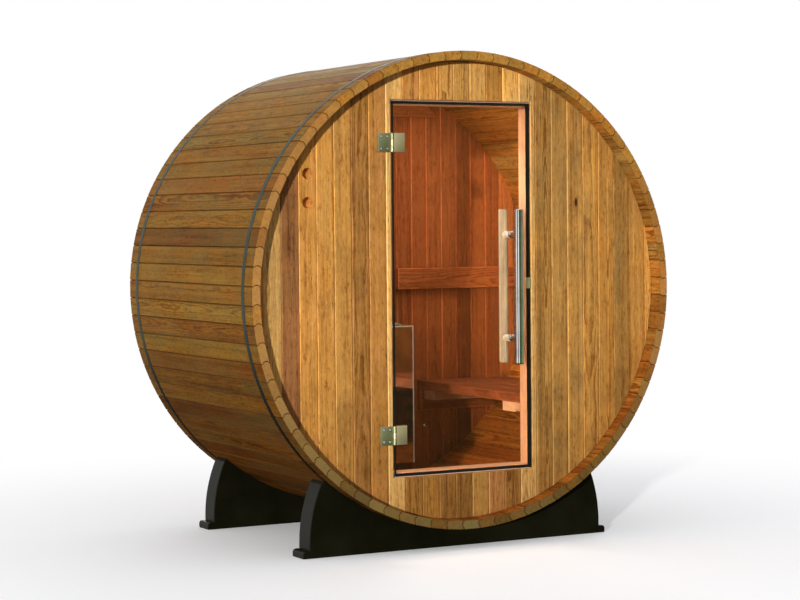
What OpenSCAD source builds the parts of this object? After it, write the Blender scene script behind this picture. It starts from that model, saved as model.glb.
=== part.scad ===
// Barrel sauna: a cabin of staves on two cradles, with a glass door in its front wall.
// Origin: on the ground, midway between the ends. +Z is up, the door faces -Y, +X is the latch side.

/* [Barrel] */
// Outside diameter of the barrel
barrel_d = 1829; // [1600:1:2200]
// Length of the staves from front to back
barrel_l = 1219; // [1100:1:2400]
// Thickness of the staves
stave_t = 35; // [28:1:45]
// Height of the barrel's lowest point above the ground
ground_gap = 76; // [60:1:150]

/* [End walls] */
// Thickness of the wall boards
wall_t = 38; // [25:1:50]
// Distance from the front end of the staves to the front wall
front_recess = 57; // [30:1:100]
// Distance from the rear end of the staves to the back wall
back_recess = 171; // [40:1:220]
// Diameter of the two round recesses in the front wall
recess_d = 42; // [30:1:60]
// Depth of the two round recesses
recess_depth = 30; // [8:1:32]
// Distance of the upper recess from the inside of the staves
recess_margin = 82; // [50:1:110]
// Height of the upper recess above the barrel's axis
recess_z = 448; // [300:1:460]
// Distance between the two recesses
recess_pitch = 108; // [80:1:140]
// Diameter of the hole for the heater's lead
lead_hole_d = 20; // [12:1:30]

/* [Doorway] */
// Width of the doorway
doorway_w = 617; // [510:1:745]
// Width of wall left between the doorway's upper corners and the staves
upper_margin = 89.3; // [75:0.1:140]
// Width of wall left between the doorway's lower corners and the staves
lower_margin = 109.5; // [75:0.1:160]
// Width of each jamb post behind the wall
jamb_w = 38; // [30:1:60]
// Depth of the jamb posts, the head and the sill
jamb_depth = 57; // [40:1:80]
// How far the head and the sill reach over the edge of the glass
stop_lap = 18; // [12:1:30]

/* [Door] */
// Thickness of the glass
glass_t = 8; // [6:1:12]
// Gap between the door and the doorway
door_gap = 5.5; // [5:0.5:10]
// Width of the edge seal on the hinge side
seal_w = 5; // [3:1:10]
// Width of the edge seal at the top
top_seal_w = 10; // [3:1:14]
// Width of the edge seal on the latch side
latch_seal_w = 15; // [10:1:25]
// Width of the edge seal at the bottom
bottom_seal_w = 11; // [3:1:14]
// Gap between the back of the glass and the head and sill
stop_gap = 5; // [5:1:10]

/* [Hinges and handle] */
// Height of a hinge
hinge_h = 72; // [60:1:100]
// Width of a hinge leaf on the wall
leaf_w = 53; // [40:1:60]
// Width of a hinge clamp on the glass
clamp_w = 46; // [40:1:60]
// Thickness of a hinge plate
plate_t = 6; // [4:1:8]
// Diameter of a hinge pin
pin_d = 6; // [4:1:8]
// Distance of each hinge from the door's middle
hinge_z = 554; // [400:1:560]
// Diameter of the handle bars
bar_d = 37; // [25:1:40]
// Length of the handle bars
bar_l = 602; // [400:1:800]
// Distance from the handle to the middle of the door
handle_x = 218; // [180:1:230]
// Distance from a bar's middle to the middle of the glass
bar_reach = 59; // [50:1:80]
// Distance between the two fixings of a handle
fixing_pitch = 403; // [300:1:500]
// Diameter of a handle's standoffs
standoff_d = 22; // [12:1:24]
// Diameter of the bosses where the standoffs meet the glass
boss_d = 28; // [20:1:36]
// Diameter of the bolts through the glass
bolt_d = 10; // [8:1:12]

/* [Bands and cradles] */
// Width of the steel bands
band_w = 25; // [20:1:40]
// Thickness of the steel bands
band_t = 1.2; // [0.8:0.1:2]
// Distance from each end of the staves to the middle of its band
band_inset = 82; // [50:1:100]
// Depth of a cradle along the barrel
cradle_depth = 95; // [60:1:140]
// Gap between the front band and the front cradle
front_cradle_gap = 3.5; // [2:0.5:60]
// Gap between the rear band and the rear cradle
rear_cradle_gap = 30.5; // [2:0.5:60]
// Distance from the side of the barrel in to the end of a cradle
cradle_side_gap = 269.5; // [200:0.5:360]
// Radius of a cradle's rounded ends
cradle_side_r = 564; // [450:1:640]
// Height of the foot flange of a cradle
foot_h = 29; // [20:1:45]
// How far the foot flange stands out at each end
foot_lip = 28; // [15:1:50]

/* [Benches and heater] */
// Half of the width of the aisle between the benches
aisle_half_w = 312; // [240:1:360]
// Depth of the seat of a bench
seat_depth = 436; // [300:1:440]
// Height of the seats below the barrel's axis
seat_drop = 418; // [380:1:460]
// Thickness of the bench timber and the battens
timber_t = 38; // [30:1:45]
// Width of the battens and of the rails under the benches
timber_w = 89; // [70:1:100]
// Gap between the slats of a seat
slat_gap = 9; // [5:1:15]
// Height of the middle batten's centre above the barrel's axis
batten_z = 21; // [-40:1:60]
// Width of the heater
heater_w = 410; // [350:1:410]
// Depth of the heater's case
heater_depth = 150; // [120:1:200]
// Distance of the heater's top below the barrel's axis
heater_drop = 172; // [100:1:200]
// Height of the heater's lower corners above the staves
heater_floor_gap = 106; // [80:1:160]
// Gap between the heater and the back wall
heater_standoff = 22; // [15:1:50]

/* [Hidden] */
$fn = 96;

// Clearances and small details
seat_clearance = 0.3;
panel_clearance = 0.3;
bench_clearance = 3;
pin_clearance = 0.1;
bolt_clearance = 0.5;
knuckle_gap = 0.5;
knuckle_wall = 3;
plate_gap = 1.5;
foot_round = 12;
stone_gap = 2;
slat_count = 4;
panel_count = 16;
staves_fn = 320;

// How far a cut runs past the face it cuts
past = 1;

// Barrel
outer_r = barrel_d / 2;
cradle_half_w = outer_r - cradle_side_gap;
inner_r = outer_r - stave_t;
axis_z = outer_r + ground_gap;
panel_angle = 360 / panel_count;
panel_sweep = panel_angle - panel_clearance / inner_r * 180 / PI;

// The outer handle bar stands out past the staves, and the origin is midway between the two ends.
handle_overhang = bar_reach + bar_d / 2 - glass_t / 2 - front_recess;
front_y = (max(handle_overhang, 0) - barrel_l) / 2;
rear_y = front_y + barrel_l;

// End walls
wall_r = inner_r - seat_clearance;
wall_y = front_y + front_recess;
front_inner_y = wall_y + wall_t;
back_y = rear_y - back_recess - wall_t;
doorway_half_w = doorway_w / 2;
doorway_low = axis_z - sqrt(pow(inner_r - lower_margin, 2) - pow(doorway_half_w, 2));
doorway_high = axis_z + sqrt(pow(inner_r - upper_margin, 2) - pow(doorway_half_w, 2));
recess_x = sqrt(pow(inner_r - recess_margin, 2) - pow(recess_z, 2));

// Door
door_half_w = doorway_half_w - door_gap;
door_low = doorway_low + door_gap;
door_high = doorway_high - door_gap;
door_mid_z = (door_low + door_high) / 2;
glass_y = wall_y + glass_t / 2;
stop_y = wall_y + glass_t + stop_gap;

// Hinges
knuckle_r = pin_d / 2 + knuckle_wall;
pin_x = -(doorway_half_w + door_half_w) / 2;
pin_y = wall_y - knuckle_r;
knuckle_h = hinge_h / 3;
hinge_clear_r = knuckle_r + plate_gap;

// Benches and heater
seat_top_z = axis_z - seat_drop;
seat_low_z = seat_top_z - timber_t;
bench_front_y = front_inner_y + bench_clearance;
bench_rear_y = back_y - bench_clearance;
seat_end = min(aisle_half_w + seat_depth,
    sqrt(pow(wall_r, 2) - pow(seat_drop + timber_t, 2)) - bench_clearance);
slat_w = (seat_end - aisle_half_w - (slat_count - 1) * slat_gap) / slat_count;
heater_top_z = axis_z - heater_drop;
heater_low_z = axis_z - sqrt(pow(inner_r, 2) - pow(heater_w / 2, 2)) + heater_floor_gap;
heater_front_y = back_y - heater_standoff - heater_depth;
stone_well = 120;
sheet_t = 4;

// A ring sector about the barrel's axis, from one end to the other along Y.
module barrel_sector(inner, outer, start_y, length, from_angle, sweep) {
    translate([0, start_y + length, axis_z])
        rotate([90, 0, 0])
            rotate([0, 0, from_angle])
                rotate_extrude(angle = sweep, $fn = staves_fn)
                    translate([inner, 0])
                        square([outer - inner, length]);
}

// A round slab that fits inside the staves.
module round_slab(radius, start_y, length) {
    translate([0, start_y + length, axis_z])
        rotate([90, 0, 0])
            cylinder(r = radius, h = length, $fn = staves_fn);
}

// A box from its lowest corner to its highest corner.
module span_box(low, high) {
    translate(low)
        cube(high - low);
}

// A cylinder along Y.
module rod_y(x, y, z, radius, length) {
    translate([x, y + length, z])
        rotate([90, 0, 0])
            cylinder(r = radius, h = length);
}

// The first panel is at the top, and the rest follow clockwise as seen from the front.
module stave_panel(number) {
    color("peru")
        barrel_sector(inner_r, outer_r, front_y, barrel_l,
            90 - (number - 1) * panel_angle - panel_sweep / 2, panel_sweep);
}

module front_wall_slab() {
    round_slab(wall_r, wall_y, wall_t);
}

module front_wall_left() {
    color("sandybrown")
        difference() {
            intersection() {
                front_wall_slab();
                span_box([-outer_r, wall_y - past, 0], [-doorway_half_w, front_inner_y + past, 2 * axis_z]);
            }
            for (step = [0, 1])
                rod_y(-recess_x, wall_y - past, axis_z + recess_z - step * recess_pitch,
                    recess_d / 2, recess_depth + past);
        }
}

module front_wall_right() {
    color("sandybrown")
        intersection() {
            front_wall_slab();
            span_box([doorway_half_w, wall_y - past, 0], [outer_r, front_inner_y + past, 2 * axis_z]);
        }
}

module front_wall_over_door() {
    color("sandybrown")
        intersection() {
            front_wall_slab();
            span_box([-doorway_half_w, wall_y - past, doorway_high],
                [doorway_half_w, front_inner_y + past, 2 * axis_z]);
        }
}

module front_wall_under_door() {
    color("sandybrown")
        intersection() {
            front_wall_slab();
            span_box([-doorway_half_w, wall_y - past, 0],
                [doorway_half_w, front_inner_y + past, doorway_low]);
        }
}

// Two posts behind the wall boards, flush with the sides of the doorway.
module door_jambs() {
    color("burlywood")
        intersection() {
            round_slab(wall_r, front_inner_y, jamb_depth);
            for (side = [-1, 1])
                translate([side * (doorway_half_w + jamb_w / 2), front_inner_y + jamb_depth / 2, axis_z])
                    cube([jamb_w, jamb_depth, 2 * outer_r], center = true);
        }
}

// The head hangs behind the top edge of the glass and stops the door.
module door_head() {
    color("burlywood")
        union() {
            span_box([-doorway_half_w, stop_y, doorway_high - stop_lap],
                [doorway_half_w, front_inner_y + jamb_depth, doorway_high]);
            span_box([-doorway_half_w, front_inner_y, doorway_high - stop_lap],
                [doorway_half_w, front_inner_y + jamb_depth, doorway_high + jamb_w]);
        }
}

// The sill stands behind the bottom edge of the glass and stops the door.
module door_sill() {
    color("burlywood")
        union() {
            span_box([-doorway_half_w, stop_y, doorway_low],
                [doorway_half_w, front_inner_y + jamb_depth, doorway_low + stop_lap]);
            span_box([-doorway_half_w, front_inner_y, doorway_low - jamb_w],
                [doorway_half_w, front_inner_y + jamb_depth, doorway_low + stop_lap]);
        }
}

module back_wall_half(side) {
    intersection() {
        round_slab(wall_r, back_y, wall_t);
        translate([side * outer_r / 2, back_y + wall_t / 2, axis_z])
            cube([outer_r, wall_t + 2 * past, 2 * outer_r], center = true);
    }
}

module back_wall_left() {
    color("sandybrown")
        back_wall_half(-1);
}

module back_wall_right() {
    lead_hole_side = 45;
    lead_hole_drop = 70;
    color("sandybrown")
        difference() {
            back_wall_half(1);
            rod_y(aisle_half_w + lead_hole_side, back_y - past, seat_low_z - timber_w - lead_hole_drop,
                lead_hole_d / 2, wall_t + 2 * past);
        }
}

// The cleat ties the tops of the two halves of the back wall together.
module top_cleat() {
    cleat_end_gap = 115;
    cleat_drop = 166.5;
    cleat_low = inner_r - cleat_drop;
    low_half = sqrt(pow(inner_r, 2) - pow(cleat_low, 2)) - cleat_end_gap;
    high_half = low_half - timber_w;
    color("burlywood")
        translate([0, back_y, axis_z + cleat_low])
            rotate([90, 0, 0])
                linear_extrude(height = timber_t)
                    polygon([[-low_half, 0], [low_half, 0], [high_half, timber_w], [-high_half, timber_w]]);
}

// One batten on each half of the back wall, beside the heater.
module middle_battens() {
    batten_start = heater_w / 2 + bench_clearance;
    batten_end = sqrt(pow(wall_r, 2) - pow(abs(batten_z) + timber_w / 2, 2)) - bench_clearance;
    color("burlywood")
        for (side = [-1, 1])
            translate([side * (batten_start + batten_end) / 2, back_y - timber_t / 2, axis_z + batten_z])
                cube([batten_end - batten_start, timber_t, timber_w], center = true);
}

// The ledgers carry the ends of the seats on the two end walls.
module bench_ledgers() {
    ledger_low = seat_drop + timber_t + timber_w;
    ledger_end = sqrt(pow(wall_r, 2) - pow(ledger_low, 2)) - bench_clearance;
    ledger_start = doorway_half_w + jamb_w;
    color("burlywood")
        for (side = [-1, 1]) {
            translate([side * (aisle_half_w + ledger_end) / 2, back_y - timber_t / 2,
                seat_low_z - timber_w / 2])
                cube([ledger_end - aisle_half_w, timber_t, timber_w], center = true);
            translate([side * (ledger_start + ledger_end) / 2, front_inner_y + timber_t / 2,
                seat_low_z - timber_w / 2])
                cube([ledger_end - ledger_start, timber_t, timber_w], center = true);
        }
}

// The slats run from the front wall to the back wall, and clear the jamb posts.
module bench_seat(side) {
    color("chocolate")
        for (index = [0 : slat_count - 1]) {
            slat_x = aisle_half_w + index * (slat_w + slat_gap);
            slat_start = slat_x < doorway_half_w + jamb_w ? jamb_depth : 0;
            translate([side * (slat_x + slat_w / 2),
                (bench_front_y + slat_start + bench_rear_y) / 2, seat_low_z + timber_t / 2])
                cube([slat_w, bench_rear_y - bench_front_y - slat_start, timber_t], center = true);
        }
}

module left_bench_seat() {
    bench_seat(-1);
}

module right_bench_seat() {
    bench_seat(1);
}

// Two flat rails under each seat tie its slats together.
module bench_rails() {
    front_rail_gap = 51;
    back_rail_gap = 30;
    rail_drop = seat_drop + 2 * timber_t;
    rail_end = min(sqrt(pow(wall_r, 2) - pow(rail_drop, 2)) - bench_clearance, seat_end);
    rail_first_y = front_inner_y + jamb_depth + front_rail_gap;
    rail_second_y = back_y - timber_t - timber_w - back_rail_gap;
    color("burlywood")
        for (side = [-1, 1])
            for (rail_y = [rail_first_y, rail_second_y])
                translate([side * (aisle_half_w + rail_end) / 2, rail_y + timber_w / 2,
                    seat_low_z - timber_t / 2])
                    cube([rail_end - aisle_half_w, timber_w, timber_t], center = true);
}

// A sheet steel case, open at the top for the stones.
module heater_case() {
    half_w = heater_w / 2;
    color("gainsboro")
        difference() {
            span_box([-half_w, heater_front_y, heater_low_z],
                [half_w, heater_front_y + heater_depth, heater_top_z]);
            span_box([-half_w + sheet_t, heater_front_y + sheet_t, heater_top_z - stone_well],
                [half_w - sheet_t, heater_front_y + heater_depth - sheet_t, heater_top_z + past]);
        }
}

module heater_stones() {
    side_gap = sheet_t + stone_gap;
    half_w = heater_w / 2 - side_gap;
    stone_rise = 20;
    color("dimgray")
        span_box([-half_w, heater_front_y + side_gap, heater_top_z - stone_well],
            [half_w, heater_front_y + heater_depth - side_gap, heater_top_z + stone_rise]);
}

// Two rails hold the case off the back wall.
module heater_brackets() {
    bracket_h = 40;
    bracket_inset = 70;
    half_w = heater_w / 2 - bracket_h;
    color("gray")
        for (low_z = [heater_low_z + bracket_inset, heater_top_z - bracket_inset - bracket_h])
            span_box([-half_w, heater_front_y + heater_depth, low_z],
                [half_w, back_y, low_z + bracket_h]);
}

module steel_band(middle_y) {
    color("slategray")
        translate([0, middle_y + band_w / 2, axis_z])
            rotate([90, 0, 0])
                difference() {
                    cylinder(r = outer_r + band_t + seat_clearance, h = band_w, $fn = staves_fn);
                    translate([0, 0, -past])
                        cylinder(r = outer_r + seat_clearance, h = band_w + 2 * past, $fn = staves_fn);
                }
}

module front_band() {
    steel_band(front_y + band_inset);
}

module rear_band() {
    steel_band(rear_y - band_inset);
}

// Outline of a cradle: rounded ends over a flanged foot, cut to the round of the barrel.
module cradle_outline() {
    side_centre = cradle_half_w - cradle_side_r;
    foot_half_w = cradle_half_w + foot_lip;
    widest_rise = 18;
    widest_z = foot_h + widest_rise;
    difference() {
        union() {
            intersection() {
                union()
                    for (side = [-1, 1])
                        translate([side * side_centre, widest_z])
                            circle(r = cradle_side_r, $fn = staves_fn);
                translate([-cradle_half_w, widest_z])
                    square([2 * cradle_half_w, cradle_side_r]);
            }
            translate([-cradle_half_w, 0])
                square([2 * cradle_half_w, widest_z]);
            translate([-foot_half_w, 0])
                square([2 * foot_half_w, foot_h - foot_round]);
            translate([-foot_half_w + foot_round, 0])
                square([2 * (foot_half_w - foot_round), foot_h]);
            for (side = [-1, 1])
                translate([side * (foot_half_w - foot_round), foot_h - foot_round])
                    circle(r = foot_round);
        }
        translate([0, axis_z])
            circle(r = outer_r + seat_clearance, $fn = staves_fn);
    }
}

module cradle(start_y) {
    color("black")
        translate([0, start_y + cradle_depth, 0])
            rotate([90, 0, 0])
                linear_extrude(height = cradle_depth)
                    cradle_outline();
}

module front_cradle() {
    cradle(front_y + band_inset + band_w / 2 + front_cradle_gap);
}

module rear_cradle() {
    cradle(rear_y - band_inset - band_w / 2 - rear_cradle_gap - cradle_depth);
}

// One wall leaf: a plate with a knuckle at its top and bottom, and the pin through them.
module hinge_leaf(middle_z) {
    low_z = middle_z - hinge_h / 2;
    difference() {
        union() {
            span_box([pin_x - hinge_clear_r - leaf_w, wall_y - plate_t, low_z],
                [pin_x, wall_y, low_z + hinge_h]);
            translate([pin_x, pin_y, low_z])
                cylinder(r = knuckle_r, h = hinge_h);
        }
        translate([pin_x, pin_y, low_z + knuckle_h - knuckle_gap])
            cylinder(r = hinge_clear_r, h = knuckle_h + 2 * knuckle_gap);
        span_box([pin_x - hinge_clear_r, pin_y, low_z + knuckle_h - knuckle_gap],
            [pin_x + hinge_clear_r, wall_y + past, low_z + 2 * knuckle_h + knuckle_gap]);
    }
    translate([pin_x, pin_y, low_z])
        cylinder(d = pin_d, h = hinge_h);
}

module hinge_leaves() {
    color("silver")
        for (side = [-1, 1])
            hinge_leaf(door_mid_z + side * hinge_z);
}

// One clamp: a front plate with the middle knuckle, and a back plate behind the glass.
module hinge_clamp(middle_z) {
    low_z = middle_z - hinge_h / 2;
    clamp_start = pin_x + hinge_clear_r;
    clamp_end = clamp_start + clamp_w;
    difference() {
        union() {
            span_box([clamp_start, wall_y - plate_t, low_z], [clamp_end, wall_y, low_z + hinge_h]);
            span_box([pin_x, wall_y - plate_t, low_z + knuckle_h],
                [clamp_start, wall_y - plate_gap, low_z + 2 * knuckle_h]);
            translate([pin_x, pin_y, low_z + knuckle_h])
                cylinder(r = knuckle_r, h = knuckle_h);
        }
        translate([pin_x, pin_y, low_z])
            cylinder(r = pin_d / 2 + pin_clearance, h = hinge_h);
    }
    span_box([clamp_start, wall_y + glass_t, low_z],
        [clamp_end, wall_y + glass_t + plate_t, low_z + hinge_h]);
}

module hinge_clamps() {
    color("silver")
        for (side = [-1, 1])
            hinge_clamp(door_mid_z + side * hinge_z);
}

module door_glass() {
    color("saddlebrown", 0.4)
        difference() {
            span_box([-door_half_w + seal_w, wall_y, door_low + bottom_seal_w],
                [door_half_w - latch_seal_w, wall_y + glass_t, door_high - top_seal_w]);
            for (side = [-1, 1])
                rod_y(handle_x, wall_y - past, door_mid_z + side * fixing_pitch / 2,
                    bolt_d / 2 + bolt_clearance, glass_t + 2 * past);
        }
}

// A dark seal round the edges of the glass, wider on the latch side.
module door_seal() {
    color("black")
        difference() {
            span_box([-door_half_w, wall_y, door_low], [door_half_w, wall_y + glass_t, door_high]);
            span_box([-door_half_w + seal_w, wall_y - past, door_low + bottom_seal_w],
                [door_half_w - latch_seal_w, wall_y + glass_t + past, door_high - top_seal_w]);
        }
}

// A round bar on two standoffs. The side is -1 in front of the glass and 1 behind it.
module handle(side) {
    face_y = glass_y + side * glass_t / 2;
    standoff_l = bar_reach - glass_t / 2;
    boss_t = 6;
    translate([handle_x, glass_y + side * bar_reach, door_mid_z - bar_l / 2])
        cylinder(d = bar_d, h = bar_l);
    for (level = [-1, 1]) {
        fixing_z = door_mid_z + level * fixing_pitch / 2;
        rod_y(handle_x, side > 0 ? face_y : face_y - standoff_l, fixing_z, standoff_d / 2, standoff_l);
        rod_y(handle_x, side > 0 ? face_y : face_y - boss_t, fixing_z, boss_d / 2, boss_t);
    }
}

// The outer handle carries the two bolts that pass through the glass.
module outer_handle() {
    bolt_grip = 3;
    color("silver") {
        handle(-1);
        for (level = [-1, 1])
            rod_y(handle_x, wall_y - bolt_grip, door_mid_z + level * fixing_pitch / 2,
                bolt_d / 2, glass_t + bolt_grip);
    }
}

module inner_handle() {
    color("wheat")
        handle(1);
}

// A small plate on the latch edge of the door.
module door_catch() {
    catch_w = 20;
    catch_h = 42;
    catch_t = 4;
    catch_rise = 12;
    catch_z = door_mid_z + catch_rise;
    color("gray")
        span_box([door_half_w - catch_w, wall_y - catch_t, catch_z - catch_h / 2],
            [door_half_w, wall_y, catch_z + catch_h / 2]);
}

stave_panel(1);  // stave_panel_01
stave_panel(2);  // stave_panel_02
stave_panel(3);  // stave_panel_03
stave_panel(4);  // stave_panel_04
stave_panel(5);  // stave_panel_05
stave_panel(6);  // stave_panel_06
stave_panel(7);  // stave_panel_07
stave_panel(8);  // stave_panel_08
stave_panel(9);  // stave_panel_09
stave_panel(10);  // stave_panel_10
stave_panel(11);  // stave_panel_11
stave_panel(12);  // stave_panel_12
stave_panel(13);  // stave_panel_13
stave_panel(14);  // stave_panel_14
stave_panel(15);  // stave_panel_15
stave_panel(16);  // stave_panel_16
front_wall_left();
front_wall_right();
front_wall_over_door();
front_wall_under_door();
door_jambs();
door_head();
door_sill();
back_wall_left();
back_wall_right();
top_cleat();
middle_battens();
bench_ledgers();
left_bench_seat();
right_bench_seat();
bench_rails();
heater_case();
heater_stones();
heater_brackets();
front_band();
rear_band();
front_cradle();
rear_cradle();
hinge_leaves();
hinge_clamps();
door_glass();
door_seal();
outer_handle();
inner_handle();
door_catch();
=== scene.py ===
import math
import random

import bpy
import bmesh
from mathutils import Matrix, Vector


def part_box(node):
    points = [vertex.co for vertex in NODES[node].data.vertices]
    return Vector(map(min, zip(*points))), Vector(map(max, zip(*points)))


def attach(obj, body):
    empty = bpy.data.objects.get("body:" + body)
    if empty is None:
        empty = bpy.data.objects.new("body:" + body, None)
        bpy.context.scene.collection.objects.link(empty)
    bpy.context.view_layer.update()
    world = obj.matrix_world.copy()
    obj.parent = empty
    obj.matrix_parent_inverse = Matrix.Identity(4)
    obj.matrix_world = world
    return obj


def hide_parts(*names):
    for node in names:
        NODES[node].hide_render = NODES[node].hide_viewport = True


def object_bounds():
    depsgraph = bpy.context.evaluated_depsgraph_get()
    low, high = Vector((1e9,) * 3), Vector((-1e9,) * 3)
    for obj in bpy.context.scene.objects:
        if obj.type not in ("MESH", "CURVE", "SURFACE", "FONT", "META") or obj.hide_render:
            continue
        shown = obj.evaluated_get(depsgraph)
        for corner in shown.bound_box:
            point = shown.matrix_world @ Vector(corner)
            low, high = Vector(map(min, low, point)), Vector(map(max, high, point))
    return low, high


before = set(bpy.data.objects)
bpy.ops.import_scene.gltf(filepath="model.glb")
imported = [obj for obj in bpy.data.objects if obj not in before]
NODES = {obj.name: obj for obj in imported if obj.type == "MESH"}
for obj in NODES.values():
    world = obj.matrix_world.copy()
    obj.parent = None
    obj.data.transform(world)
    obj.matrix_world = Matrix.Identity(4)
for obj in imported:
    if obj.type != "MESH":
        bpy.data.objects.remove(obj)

CAD_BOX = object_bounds()
CABIN, DOOR = "cabin", "door"
ACROSS, BACK, UP, FORWARD = (1, 0, 0), (0, 1, 0), (0, 0, 1), (0, -1, 0)

# ---- layout, from the CAD boxes (metres)
top_low, top_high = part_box("stave_panel_01")
base_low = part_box("stave_panel_09")[0]
wall_low, wall_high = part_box("front_wall_left")
over_low, over_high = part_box("front_wall_over_door")
under_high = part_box("front_wall_under_door")[1]
back_low, back_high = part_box("back_wall_right")
seal_low, seal_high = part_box("door_seal")
glass_low, glass_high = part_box("door_glass")
OUTER_R = (top_high.z - base_low.z) / 2
AXIS_Z = (top_high.z + base_low.z) / 2
FRONT_Y, REAR_Y = top_low.y, top_high.y
FIT = 0.0003
WALL_R = -wall_low.x
INNER_R = WALL_R + FIT
DOOR_HALF = over_high.x
DOOR_LOW, DOOR_HIGH = under_high.z, over_low.z

STAVES = 80
STAVE_ANGLE = 2 * math.pi / STAVES
BOARD_PITCH = 0.07336
SKIN_DEPTH = 0.012
SCREW_R, HINGE_SCREW_R = 0.0035, 0.0046
RNG = random.Random(11)


# ---- mesh building
def inset(points, distance):
    """The outline moved inwards, where points run anticlockwise."""
    moved = []
    for i, here in enumerate(points):
        before, after = Vector(points[i - 1]), Vector(points[(i + 1) % len(points)])
        a, b = (Vector(here) - before).normalized(), (after - Vector(here)).normalized()
        na, nb = Vector((-a.y, a.x)), Vector((-b.y, b.x))
        moved.append(Vector(here) + (na + nb) * (distance / max(1 + na.dot(nb), 0.4)))
    return moved


def slab(points, start, end, bevel, place, rounded=True):
    """An outline pushed from start to end with eased edges. place(p, q, depth) gives each point."""
    ease = [(0.3 * bevel, 0.3 * bevel)] if rounded else []
    profile = ([(bevel, start)] + [(a, start + b) for a, b in ease] + [(0, start + bevel), (0, end - bevel)]
               + [(a, end - b) for a, b in ease] + [(bevel, end)])
    count = len(points)
    verts, faces = [], []
    for distance, depth in profile:
        ring = inset(points, distance) if distance else points
        verts += [place(p[0], p[1], depth) for p in ring]
    for level in range(len(profile) - 1):
        a, b = level * count, (level + 1) * count
        for i in range(count):
            j = (i + 1) % count
            faces.append((a + i, a + j, b + j, b + i))
    faces.append(tuple(range(count - 1, -1, -1)))
    faces.append(tuple(range((len(profile) - 1) * count, len(profile) * count)))
    return verts, faces


def along_y(p, q, depth):
    return Vector((p, depth, q))


def cuboid(low, high, bevel):
    points = [(low[0], low[2]), (high[0], low[2]), (high[0], high[2]), (low[0], high[2])]
    return slab(points, low[1], high[1], bevel, along_y)


def put(name, data):
    """A new object in the scene."""
    item = bpy.data.objects.new(name, data)
    bpy.context.scene.collection.objects.link(item)
    return item


def flat_mesh(name, verts, faces):
    """A flat-shaded mesh whose faces all look outwards."""
    mesh = bpy.data.meshes.new(name)
    mesh.from_pydata([tuple(v) for v in verts], [], faces)
    bm = bmesh.new()
    bm.from_mesh(mesh)
    bmesh.ops.recalc_face_normals(bm, faces=bm.faces)
    bm.to_mesh(mesh)
    bm.free()
    mesh.polygons.foreach_set("use_smooth", [False] * len(mesh.polygons))
    return mesh


def finish_mesh(name, verts, faces, material, body, slot, replaced=()):
    """A piece that rides on a body and takes the place of CAD nodes. The slot argument is not used."""
    mesh = flat_mesh(name, verts, faces)
    mesh.materials.append(material)
    piece = put(name, mesh)
    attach(piece, body)
    if replaced:
        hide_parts(*replaced)
    return piece


class Timber:
    """Gathers wooden parts into one mesh. Each part has its own grain frame and tint.

    A face's kind is how much of an end it is, then 1 outside, 0.5 inside or 0 between, then 1 on an eased edge.
    """

    def __init__(self):
        self.verts, self.faces, self.grain, self.tint, self.kind = [], [], [], [], []

    def add(self, verts, faces, along, across, tint, pith=None, outward=None, end_tan=1.0):
        first = len(self.verts)
        along, across = Vector(along).normalized(), Vector(across).normalized()
        depth = along.cross(across)
        centre = sum((Vector(v) for v in verts), Vector()) / len(verts)
        if pith is None:
            flat = RNG.random() < 0.6
            pith = ((RNG.uniform(-0.02, 0.02), RNG.choice((-1, 1)) * RNG.uniform(0.03, 0.11)) if flat
                    else (RNG.choice((-1, 1)) * RNG.uniform(0.07, 0.16), RNG.uniform(-0.05, 0.05)))
        start = RNG.uniform(-40, 40)
        for v in verts:
            at = Vector(v) - centre
            self.grain.append((at.dot(along) + start, at.dot(across) - pith[0], at.dot(depth) - pith[1]))
            self.tint.append((*tint[:3], Vector(v).z / CAD_BOX[1].z))
        self.verts += [Vector(v) for v in verts]
        for f in faces:
            a, b, c = (Vector(verts[i]) for i in (f[0], f[1], f[2]))
            normal = (b - a).cross(c - b)
            if len(f) > 4:
                normal = sum(((Vector(verts[f[i]]) - a).cross(Vector(verts[f[i + 1]]) - a)
                              for i in range(1, len(f) - 1)), Vector())
            normal.normalize()
            end = end_tan if abs(normal.dot(along)) > 0.75 else 0.0
            edge = 1.0 if max(abs(normal.dot(way)) for way in (along, across, depth)) < 0.93 else 0.0
            side = 0.0
            if outward is not None and not end:
                depth_out = (sum((Vector(verts[i]) for i in f), Vector()) / len(f) - centre).dot(outward)
                side = 1.0 if depth_out > SKIN_DEPTH else 0.5 if depth_out < -SKIN_DEPTH else 0.0
            self.kind.append((end, side, edge, 1.0))
            self.faces.append(tuple(first + i for i in f))

    def build(self, name, material, slot, replaced, body=CABIN):
        piece = finish_mesh(name, self.verts, self.faces, material, body, slot, replaced)
        mesh = piece.data
        grain = mesh.attributes.new("grain", "FLOAT_VECTOR", "POINT")
        grain.data.foreach_set("vector", [x for g in self.grain for x in g])
        tint = mesh.attributes.new("tint", "FLOAT_COLOR", "POINT")
        tint.data.foreach_set("color", [x for t in self.tint for x in t])
        kind = mesh.attributes.new("kind", "FLOAT_COLOR", "FACE")
        kind.data.foreach_set("color", [x for k in self.kind for x in k])
        return piece


def clamp(value, low=0.0, high=1.0):
    return min(high, max(low, value))


def tint(hue, value, spread):
    """A board's own tone: hue from olive to red, value from dark to light, and how strong its figure is."""
    return clamp(hue + RNG.gauss(0, spread)), clamp(value + RNG.gauss(0, spread)), RNG.uniform(0.25, 1.0)


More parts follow.
